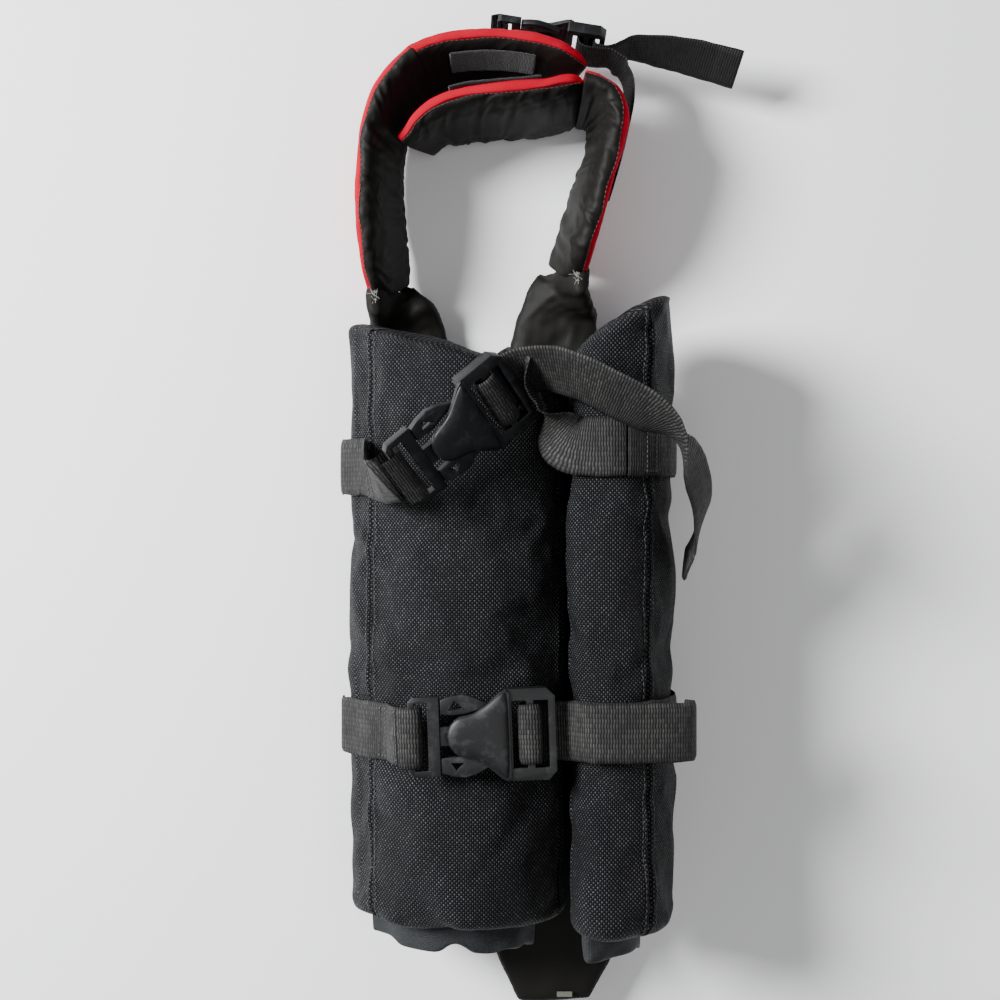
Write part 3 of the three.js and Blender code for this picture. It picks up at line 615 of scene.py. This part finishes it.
# Where the seam lies on the section, as an angle from the outer face: arms show less red than flaps.
SEAMS = {"left_arm": 1.5, "left_flap": 1.85, "right_arm": 1.45, "right_flap": 1.85}
band_edges = {}
for band, seam in SEAMS.items():
    middle, across, out, half, thick, run = band_frames(band, 36)
    turn = np.linspace(0, 2 * math.pi, 57)
    rows, uvs = [], []
    ends = np.minimum(run, run[-1] - run)
    flap = band.endswith("flap")
    foot_first = middle[0][1] < middle[-1][1] and not flap
    for i in range(len(run)):
        close = tip_close(run[-1] - run[i], 0.007) if flap else 1.0
        tall = 0.65 + 0.35 * tip_close(run[i] if foot_first else run[-1] - run[i], 0.014)
        up, off = profile(turn[:-1], half[i] * tall, (thick[i] - 0.0004) * close)
        seat = np.clip((turn[:-1] - seam) / 0.12, 0, 1) * np.clip((5.1 - turn[:-1]) / 0.12, 0, 1)
        off = off * (1 - 0.22 * seat)
        rows.append(middle[i] + up[:, None] * across[i] + off[:, None] * out[i])
        around = turn * (half[i] * 4 + thick[i] * 2) / (2 * math.pi)
        uvs.append(np.stack([around, np.full(57, run[i])], 1))
    outer = loft(band + "_red", np.array(rows), np.array(uvs))
    refine(outer, 1)
    co = points_of(outer)
    calm = np.clip(np.minimum(map_of(outer)[:, 1], run[-1] - map_of(outer)[:, 1]) / 0.008, 0, 1)
    push_out(outer, (0.0004 * ripple(co, 0.012, 3.3) - 0.0002) * calm)
    outer.data.materials.append(crimson)
    # The satin facing: a loose lens of cloth over the inner side, from seam to seam.
    fine = np.linspace(0, run[-1], 150)
    look = lambda values: np.stack([np.interp(fine, run, values[:, k]) for k in range(3)], 1)
    m2, a2, o2 = look(middle), look(across), look(out)
    h2, t2 = np.interp(fine, run, half), np.interp(fine, run, thick)
    wave = 0.05 * np.sin(fine / 0.0036) + 0.07 * ripple(np.stack([fine, fine * 0, fine * 0], 1), 0.011, seam, 2)
    loose = 0.3 if band == "left_flap" else 1.0
    rows, uvs, edge = [], [], []
    for i in range(len(fine)):
        close = tip_close(fine[-1] - fine[i], 0.007) if flap else 1.0
        tall = 0.65 + 0.35 * tip_close(fine[i] if foot_first else fine[-1] - fine[i], 0.014)
        arc = np.linspace(seam + wave[i], 5.0, 44)
        up, off = profile(arc, h2[i] * tall, (t2[i] - 0.0004) * close)
        reach = np.linspace(0, 1, 44)
        swell = 0.0002 + loose * 0.0014 * np.sin(math.pi * np.clip(reach * 1.02, 0, 1)) ** 0.5
        back_up, back_off = profile(arc[::-1], (h2[i] - 0.002) * tall, (t2[i] - 0.0026) * close)
        centre = np.stack([up, off], 1)
        normal = np.gradient(centre, axis=0)
        normal = np.stack([normal[:, 1], -normal[:, 0]], 1)
        normal /= np.maximum(np.linalg.norm(normal, axis=1, keepdims=True), 1e-9)
        normal *= np.sign((normal * centre).sum(1, keepdims=True) + 1e-9)
        centre = centre + normal * (swell * close)[:, None]
        ring = np.vstack([centre, np.stack([back_up, back_off], 1)])
        rows.append(m2[i] + ring[:, :1] * a2[i] + ring[:, 1:] * o2[i])
        uvs.append(np.stack([np.linspace(0, 0.12, 89), np.full(89, fine[i])], 1))
        edge.append(m2[i] + centre[1, 0] * a2[i] + centre[1, 1] * o2[i])
    facing = loft(band + "_facing", np.array(rows), np.array(uvs))
    co = points_of(facing)
    uv = map_of(facing)
    inward = np.array([o2[min(149, int(v / run[-1] * 149.99))] for v in uv[:, 1]])
    bend = uv[:, 1] + 0.25 * uv[:, 0] + 0.0022 * ripple(co, 0.014, 6.6, 2)
    cross = ripple(np.stack([bend, uv[:, 0] * 0.3, bend * 0], 1), 0.0058, 9.1 + seam, 2)
    folds = 1 - 2 * np.abs(cross)
    front = np.clip(np.minimum(uv[:, 0], 0.0585 - uv[:, 0]) / 0.004, 0, 1) * (uv[:, 0] < 0.0585)
    front *= np.clip(np.minimum(uv[:, 1], run[-1] - uv[:, 1]) / 0.006, 0.12, 1)
    push_out(facing, (0.0006 * folds + 0.0003 * ripple(co, 0.0045, 1.7)) * front * loose)
    refine(facing, 1)
    facing.data.materials.append(satin)
    body = "collar" if band.endswith("arm") else band
    for piece, slot in ((outer, "red_fabric"), (facing, "lining")):
        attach(piece, body)
    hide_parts(band + "_cover", band + "_foam")
    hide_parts(band + "_lining")
    band_edges[band] = (np.array(edge), a2, body)

# ---- Webbing ----
# Black nylon webbing, 25 mm on the belly and 20 mm at the neck, woven in ribs across its width. The rib tops are
# painted paler, partly as wear and partly as painted highlight. It is stiff enough to keep its bends but its edges
# wander a little.
ribbed = bpy.data.node_groups.new("ribbed_web", "ShaderNodeTree")
ribbed.interface.new_socket("Place", in_out="INPUT", socket_type="NodeSocketVector")
for socket in ("Height", "Wear"):
    ribbed.interface.new_socket(socket, in_out="OUTPUT", socket_type="NodeSocketFloat")
put, calc = tools(ribbed)
entry = ribbed.nodes.new("NodeGroupInput")
split = ribbed.nodes.new("ShaderNodeSeparateXYZ")
ribbed.links.new(entry.outputs["Place"], split.inputs[0])
column = calc("DIVIDE", split.outputs[0], 0.0021)
shift = calc("MULTIPLY", calc("FRACT", calc("MULTIPLY", calc("FLOOR", column), 0.5)), 0.3)
rib = calc("ADD", calc("DIVIDE", split.outputs[1], 0.00118), shift)
rib_round = calc("SINE", calc("MULTIPLY", calc("FRACT", rib), math.pi))
cord_round = calc("SINE", calc("MULTIPLY", calc("FRACT", column), math.pi))
web_top = calc("MULTIPLY", calc("POWER", rib_round, 0.8), calc("MULTIPLY_ADD", cord_round, 0.25, 0.75))
number = put("ShaderNodeCombineXYZ", calc("FLOOR", rib), calc("FLOOR", column), 0.0)
random_rib = put("ShaderNodeTexWhiteNoise", number)
leave = ribbed.nodes.new("NodeGroupOutput")
ribbed.links.new(web_top, leave.inputs["Height"])
ribbed.links.new(random_rib, leave.inputs["Wear"])


def webbing_material(name, dark, worn, amount):
    material, shader, put, calc = new_material(name, 0.6, Specular_IOR_Level=0.25)
    node = material.node_tree.nodes.new("ShaderNodeGroup")
    node.node_tree = ribbed
    links = material.node_tree.links
    links.new(put("ShaderNodeUVMap", uv_map="cloth"), node.inputs["Place"])
    height, wear = node.outputs
    patch = put("ShaderNodeTexNoise", put("ShaderNodeTexCoord", out=3), None, 45.0, 3.0)
    # The rib tops are lightened towards the worn colour: partly wear in random ribs and patches, partly painted
    # highlight on the rib tops.
    rib_top_highlight_and_wear = calc("MULTIPLY", calc("POWER", height, 2.0), calc("MULTIPLY", calc("MULTIPLY_ADD", wear, 0.7, 0.3), patch))
    links.new(blend_colour(put, calc("MULTIPLY", rib_top_highlight_and_wear, amount), dark, worn), shader.inputs["Base Color"])
    links.new(put("ShaderNodeMapRange", rib_top_highlight_and_wear, 0.0, 0.6, 0.72, 0.46), shader.inputs["Roughness"])
    bump = material.node_tree.nodes.new("ShaderNodeBump")
    bump.inputs["Strength"].default_value = 0.8
    bump.inputs["Distance"].default_value = 0.0004
    links.new(height, bump.inputs["Height"])
    links.new(bump.outputs[0], shader.inputs["Normal"])
    return material


# The worn colours are partly painted highlight on the rib tops.
belly_web = webbing_material("belly_webbing", (0.0035, 0.0035, 0.0037, 1), (0.085, 0.081, 0.074, 1), 1.0)
neck_web = webbing_material("neck_webbing", (0.0028, 0.0028, 0.003, 1), (0.02, 0.02, 0.021, 1), 1.0)


def make_web(name, node, body, material, seed):
    rows = strip_rows(node, 4)
    sides = np.linalg.norm(rows[0] - np.roll(rows[0], -1, axis=0), axis=1)
    if sides[0] < sides[1]:
        rows = np.roll(rows, 1, axis=1)
    middle = rows.mean(1)
    across = (rows[:, 1] + rows[:, 2] - rows[:, 0] - rows[:, 3]) / 2
    width = np.linalg.norm(across, axis=1)
    across /= width[:, None]
    rise = (rows[:, 3] + rows[:, 2] - rows[:, 0] - rows[:, 1]) / 2
    thick = np.linalg.norm(rise, axis=1)
    rise /= thick[:, None]
    run = np.concatenate([[0], np.cumsum(np.linalg.norm(np.diff(middle, axis=0), axis=1))])
    ticks = np.linspace(0, run[-1], max(4, int(run[-1] / 0.0011)))

    def even(values):
        return np.stack([np.interp(ticks, run, values[:, k]) for k in range(3)], 1)

    middle, across, rise = even(middle), even(across), even(rise)
    half = np.interp(ticks, run, width) / 2
    depth = np.interp(ticks, run, thick) / 2
    if node in ("upper_strap", "neck_strap"):
        from_tail = ticks if middle[0][0] > middle[-1][0] else ticks[-1] - ticks
        depth = depth * (1 + 0.8 * (from_tail < 0.0105))
    spots = np.linspace(-1, 1, 15)
    top = np.stack([spots, (1 - np.abs(spots) ** 8) ** 0.5 * 0.9 + 0.02], 1)
    ring = np.vstack([top, top[::-1] * (1, -1)])
    path = np.stack([ticks, ticks * 0, ticks * 0], 1)
    edge_a = 0.00025 * ripple(path, 0.006, seed, 2)
    edge_b = 0.00025 * ripple(path, 0.006, seed + 4, 2)
    cup = 0.0003 * ripple(path, 0.02, seed + 7, 2)
    points = []
    for i in range(len(ticks)):
        reach = ring[:, 0] * (half[i] - 0.0003) + np.where(ring[:, 0] > 0.9, edge_a[i], 0) + np.where(ring[:, 0] < -0.9, edge_b[i], 0)
        lift = ring[:, 1] * depth[i] * 0.92 + cup[i] * (ring[:, 0] ** 2 - 0.4)
        points.append(middle[i] + reach[:, None] * across[i] + lift[:, None] * rise[i])
    flat = np.concatenate([ring[:, 0], ring[:1, 0]]) * half[0]
    uvs = np.array([np.stack([flat, np.full(len(flat), t)], 1) for t in ticks])
    web = loft(name, np.array(points), uvs)
    web.data.materials.append(material)
    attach(web, body)
    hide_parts(node)
    return middle, across, rise, half, depth, ticks


webs = {}
for node, body in (("lower_left_webbing", "left_side"), ("upper_left_webbing", "left_side"),
                   ("lower_right_webbing", "right_side"), ("upper_right_webbing", "right_side"),
                   ("lower_strap", "right_side"), ("upper_strap", "right_side")):
    webs[node] = make_web(node.replace("webbing", "web").replace("strap", "belly_strap"), node, body, belly_web, len(webs) + 1.0)
for node, body in (("neck_right_webbing", "collar"), ("neck_plug_webbing", "left_flap"), ("neck_strap", "neck_strap")):
    webs[node] = make_web(node.replace("webbing", "web").replace("strap", "closing_strap"), node, body, neck_web, len(webs) + 1.0)
short_web = softened("neck_left_web", ["neck_left_webbing"], 0.0004, 1)
co = points_of(short_web)
layer = short_web.data.uv_layers.new(name="cloth")
loops = np.empty(len(short_web.data.loops), np.int32)
short_web.data.loops.foreach_get("vertex_index", loops)
layer.data.foreach_set("uv", co[loops][:, [2, 0]].astype(np.float32).ravel())
short_web.data.materials.append(neck_web)
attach(short_web, "left_flap")
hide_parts("neck_left_webbing")

# ---- Hook and loop patches ----
# A stiff hook patch inside the left flap meets a looped patch on the right one.
pile, shader, put, calc = new_material("hook_pile", 0.9, Sheen_Weight=0.2)
place = put("ShaderNodeTexCoord", out=3)
tufts = put("ShaderNodeTexVoronoi", place, None, 1400.0)
links = pile.node_tree.links
links.new(blend_colour(put, tufts, (0.012, 0.012, 0.012, 1), (0.003, 0.003, 0.003, 1)), shader.inputs["Base Color"])
bump = pile.node_tree.nodes.new("ShaderNodeBump")
bump.inputs["Strength"].default_value = 0.7
bump.inputs["Distance"].default_value = 0.0004
links.new(tufts, bump.inputs["Height"])
links.new(bump.outputs[0], shader.inputs["Normal"])
for name, body in (("hook_patch", "left_flap"), ("loop_patch", "right_flap")):
    patch = softened(name + "_pile", [name], 0.0005, 2)
    patch.data.materials.append(pile)
    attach(patch, body)
    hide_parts(name)

# ---- Buckles ----
# Side-release buckles in black acetal: a plug with two spring arms, and a socket with a domed cover that runs
# into a two-bar ladder. Handling has greyed and polished the rails and the raised edges.
acetal, shader, put, calc = new_material("acetal", 0.45, Specular_IOR_Level=0.32)
place = put("ShaderNodeTexCoord", out=3)
rub = put("ShaderNodeTexNoise", place, None, 160.0, 5.0, 0.65)
scratch = put("ShaderNodeTexNoise", put("ShaderNodeMapping", place, None, (0.3, 0.2, 0.7), (1.0, 9.0, 1.0)), None, 420.0, 3.0)
links = acetal.node_tree.links
worn = put("ShaderNodeMapRange", rub, 0.52, 0.72, 0.0, 1.0)
links.new(blend_colour(put, worn, (0.0032, 0.0035, 0.004, 1), (0.02, 0.0215, 0.023, 1)), shader.inputs["Base Color"])
links.new(put("ShaderNodeMapRange", calc("ADD", worn, scratch), 0.2, 1.4, 0.4, 0.62), shader.inputs["Roughness"])
bump = acetal.node_tree.nodes.new("ShaderNodeBump")
bump.inputs["Strength"].default_value = 0.22
bump.inputs["Distance"].default_value = 0.0002
links.new(calc("ADD", rub, calc("MULTIPLY", scratch, 0.5)), bump.inputs["Height"])
links.new(bump.outputs[0], shader.inputs["Normal"])

BUCKLES = {
    "upper": (Vector((-0.0155, 0.030, 0.101)), 40, 35, 8, 1.0, "left_side", "right_side"),
    "lower": (Vector((-0.0058, -0.097, 0.0922)), 2, 0, 0, 1.0, "left_side", "right_side"),
    "neck": (Vector((0.024, 0.2084, 0.029)), -9, -102, 0, 0.8, "left_flap", "neck_strap"),
}


def moulded(name, node, body, edge):
    """A moulding with its edges rounded over the plain solid's shape."""
    work = bmesh.new()
    work.from_mesh(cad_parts[node].data)
    bmesh.ops.remove_doubles(work, verts=work.verts, dist=1e-6)
    bmesh.ops.dissolve_limit(work, angle_limit=0.02, verts=work.verts, edges=work.edges)
    mesh = bpy.data.meshes.new(name)
    work.to_mesh(mesh)
    work.free()
    obj = link_mesh(name, mesh)
    round_over = obj.modifiers.new("edges", "BEVEL")
    round_over.width = edge
    round_over.segments = 3
    round_over.limit_method = "ANGLE"
    round_over.angle_limit = 0.5
    finish_modifiers(obj)
    obj.data.shade_smooth()
    obj.data.materials.append(acetal)
    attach(obj, body)
    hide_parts(node)
    return obj


def buckle_place(at, yaw, roll, dip, size):
    yaw, roll, dip = (math.radians(v) for v in (yaw, roll, dip))
    axis = Vector((math.cos(yaw) * math.cos(dip), math.sin(yaw) * math.cos(dip), -math.sin(dip)))
    level = Vector((math.sin(yaw), -math.cos(yaw), 0))
    normal = level.cross(axis) * math.cos(roll) + level * math.sin(roll)
    turn = Matrix((axis, normal.cross(axis), normal)).transposed().to_4x4()
    return Matrix.Translation(at) @ turn @ Matrix.Scale(size, 4)


nose = [(-7 + 9 * math.cos(math.radians(a)), 9 * math.sin(math.radians(a))) for a in range(115, 246, 13)]
flank = [(-4, 9.6), (1, 13.2), (5.2, 16.6), (8, 18.0), (9.6, 18.2)]
cover_outline = np.array(nose + [(x, -y) for x, y in flank] + flank[::-1])
for name, (at, yaw, roll, dip, size, plug_body, socket_body) in BUCKLES.items():
    moulded(name + "_plug", name + "_buckle_plug", plug_body, 0.00045)
    for arm in ("arm_a", "arm_b"):
        moulded(name + "_" + arm, name + "_buckle_" + arm, name + "_" + arm, 0.0005)
    moulded(name + "_socket", name + "_buckle_socket", socket_body, 0.0006)
    place = buckle_place(at, yaw, roll, dip, size)
    rows, uvs = [], []
    for share, z in ((0.9, 3.0), (0.985, 3.4), (1.0, 4.0), (0.985, 4.5), (0.94, 4.95), (0.86, 5.35), (0.72, 5.75),
                     (0.54, 6.0), (0.34, 6.12), (0.15, 6.16)):
        ring = cover_outline * share + np.array([-2.2, 0]) * (1 - share)
        rows.append([place @ Vector((x / 1000, y / 1000, z / 1000)) for x, y in ring])
        uvs.append(np.zeros((len(ring) + 1, 2)))
    crown = loft(name + "_cover", np.array(rows), np.array(uvs))
    refine(crown, 2)
    crown.data.materials.append(acetal)
    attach(crown, socket_body)

# ---- Stitching ----
# Bonded thread: top-stitching beside the pad seams, box stitching where the webbing is sewn down, one row across
# the folded tail of the upper strap and dark red thread where the satin meets the crimson.
stitch_tree = bpy.data.node_groups.new("stitch_run", "GeometryNodeTree")
for socket, way, kind in (("Line", "INPUT", "NodeSocketGeometry"), ("Pitch", "INPUT", "NodeSocketFloat"),
                          ("Thread", "INPUT", "NodeSocketFloat"), ("Finish", "INPUT", "NodeSocketMaterial"),
                          ("Stitches", "OUTPUT", "NodeSocketGeometry")):
    stitch_tree.interface.new_socket(socket, in_out=way, socket_type=kind)
put, calc = tools(stitch_tree)
entry = stitch_tree.nodes.new("NodeGroupInput")
curve = put("GeometryNodeMeshToCurve", entry.outputs["Line"])
points = stitch_tree.nodes.new("GeometryNodeResampleCurve")
points.mode = "LENGTH"
stitch_tree.links.new(curve, points.inputs["Curve"])
stitch_tree.links.new(entry.outputs["Pitch"], points.inputs["Length"])
ball = stitch_tree.nodes.new("GeometryNodeMeshUVSphere")
ball.inputs["Segments"].default_value = 6
ball.inputs["Rings"].default_value = 4
ball.inputs["Radius"].default_value = 0.5
long = calc("MULTIPLY", entry.outputs["Pitch"], 0.8)
stretch = put("ShaderNodeCombineXYZ", entry.outputs["Thread"], entry.outputs["Thread"], long)
facing_way = put("FunctionNodeAlignEulerToVector", None, None, put("GeometryNodeInputTangent"), axis="Z")
spread = stitch_tree.nodes.new("GeometryNodeInstanceOnPoints")
stitch_tree.links.new(points.outputs[0], spread.inputs["Points"])
stitch_tree.links.new(ball.outputs["Mesh"], spread.inputs["Instance"])
stitch_tree.links.new(facing_way, spread.inputs["Rotation"])
stitch_tree.links.new(stretch, spread.inputs["Scale"])
solid = put("GeometryNodeRealizeInstances", spread.outputs[0])
coloured = stitch_tree.nodes.new("GeometryNodeSetMaterial")
stitch_tree.links.new(solid, coloured.inputs["Geometry"])
stitch_tree.links.new(entry.outputs["Finish"], coloured.inputs["Material"])
leave = stitch_tree.nodes.new("NodeGroupOutput")
stitch_tree.links.new(coloured.outputs[0], leave.inputs["Stitches"])


def thread_material(name, low, high):
    material, shader, put, calc = new_material(name, 0.55, Sheen_Weight=0.1)
    twist = put("ShaderNodeTexNoise", put("ShaderNodeTexCoord", out=3), None, 2500.0, 1.0)
    material.node_tree.links.new(blend_colour(put, twist, low, high), shader.inputs["Base Color"])
    return material


black_thread = thread_material("black_thread", (0.004, 0.004, 0.0045, 1), (0.022, 0.022, 0.024, 1))
grey_thread = thread_material("grey_thread", (0.02, 0.022, 0.024, 1), (0.06, 0.064, 0.066, 1))
red_thread = thread_material("red_thread", (0.05, 0.001, 0.004, 1), (0.13, 0.003, 0.01, 1))


def stitches(name, lines, pitch, thread, material, body):
    """Sews runs of thread along lines of points."""
    verts, edges = [], []
    for line in lines:
        edges += [(len(verts) + k, len(verts) + k + 1) for k in range(len(line) - 1)]
        verts += [tuple(p) for p in line]
    mesh = bpy.data.meshes.new(name)
    mesh.from_pydata(verts, edges, [])
    obj = link_mesh(name, mesh)
    sew = obj.modifiers.new("sew", "NODES")
    sew.node_group = stitch_tree
    for item in stitch_tree.interface.items_tree:
        value = {"Pitch": pitch, "Thread": thread, "Finish": material}.get(item.name)
        if value is not None and item.in_out == "INPUT":
            sew[item.identifier] = value
    finish_modifiers(obj)
    obj.data.shade_smooth()
    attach(obj, body)
    return obj


def pad_line(pad, full, along, place, y_low, y_high, sink=0.0001):
    """A line down a pad's surface at one place round its section."""
    tree = BVHTree.FromObject(pad, bpy.context.evaluated_depsgraph_get())
    ring = np.vstack([full, full[:1]])
    x = np.interp(place, along, ring[:, 0])
    z = np.interp(place, along, ring[:, 1])
    ahead = [np.interp(place + 0.001, along, ring[:, k]) for k in (0, 1)]
    way = np.array([ahead[0] - x, ahead[1] - z])
    normal = Vector((-way[1], 0, way[0])).normalized()
    middle = ring.mean(0)
    if normal.x * (x - middle[0]) + normal.z * (z - middle[1]) < 0:
        normal = -normal
    line = []
    for y in np.arange(y_low, y_high, 0.0015):
        hit = tree.ray_cast(Vector((x, y, z)) + normal * 0.012, -normal, 0.03)[0]
        if hit is not None:
            line.append(hit + normal * sink)
    return line


stitches("left_seam_stitches", [pad_line(left_pad, left_full, left_along, s, -0.18, 0.073) for s in (0.0108, 0.0158)],
         0.0026, 0.00045, black_thread, "left_side")
stitches("right_seam_stitches", [pad_line(right_pad, right_full, right_along, s, -0.18, 0.078) for s in (0.0512, 0.0568)],
         0.0026, 0.00045, black_thread, "right_side")
for band, (edge, a2, body) in band_edges.items():
    stitches(band + "_stitches", [edge[4:-4]], 0.0022, 0.00045, red_thread, body)


# Pale fibres show where the crimson is cut off at the foot of each arm.
pale_thread = thread_material("frayed_thread", (0.32, 0.31, 0.28, 1), (0.6, 0.58, 0.52, 1))
for band in ("left_arm", "right_arm"):
    edge, a2, body = band_edges[band]
    root = edge[np.argmin(edge[:, 1])].copy()
    for cloth in (band.replace("arm", "shoulder_cloth"), band + "_red"):
        skin = points_of(bpy.data.objects[cloth])
        near = skin[np.linalg.norm(skin[:, :2] - root[:2], axis=1) < 0.0022]
        root[2] = max([root[2], *near[:, 2]])
    rng = np.random.default_rng(7)
    strands = []
    for _ in range(16):
        way = rng.normal(size=3) * (0.6, 0.9, 0.15) + (0, 0.1, 0.12)
        way /= np.linalg.norm(way)
        bend = rng.normal(size=3) * (0.0012, 0.0012, 0.0004)
        start = root + rng.normal(size=3) * (0.0006, 0.0012, 0.0002)
        strands.append([start + way * s * 0.002 + bend * s * s for s in np.linspace(0, 1, 6)])
    stitches(band + "_frayed_end", strands, 0.0005, 0.00022, pale_thread, body)


def web_box(node, start, end, inset=0.0025):
    """A sewn box on the outer face of a webbing, between two distances along it."""
    middle, across, rise, half, depth, run = webs[node]
    lines = []

    def at(distance, side):
        k = min(len(run) - 1, int(np.searchsorted(run, distance)))
        face = 1 if rise[k][2] * 1.0 + rise[k] @ (middle[k] - np.array([0.0, middle[k][1], 0.05])) > 0 else -1
        return middle[k] + across[k] * side * (half[k] - inset) + rise[k] * face * (depth[k] + 0.00005)

    steps = np.linspace(start, end, max(3, int((end - start) / 0.002)))
    for side in (-1, 1):
        lines.append([at(d, side) for d in steps])
    for d in (start, end):
        lines.append([at(d, s) for s in np.linspace(-1, 1, 9)])
    return lines


for node, body, spans in (
        ("lower_left_webbing", "left_side", ((0.036, 0.042), (0.058, 0.061))),
        ("upper_left_webbing", "left_side", ((0.036, 0.042),)),
        ("lower_right_webbing", "right_side", ((0.062, 0.068),)),
        ("upper_right_webbing", "right_side", ((0.062, 0.068),)),
        ("neck_right_webbing", "collar", ((0.002, 0.02),))):
    lines = [line for span in spans for line in web_box(node, *span)]
    stitches(node.replace("webbing", "tack"), lines, 0.0019, 0.00042, grey_thread, body)
upper_end = webs["upper_strap"][5][-1]
stitches("upper_tail_hem", [web_box("upper_strap", upper_end - 0.012, upper_end - 0.011)[2]], 0.0019, 0.00042, grey_thread,
         "right_side")
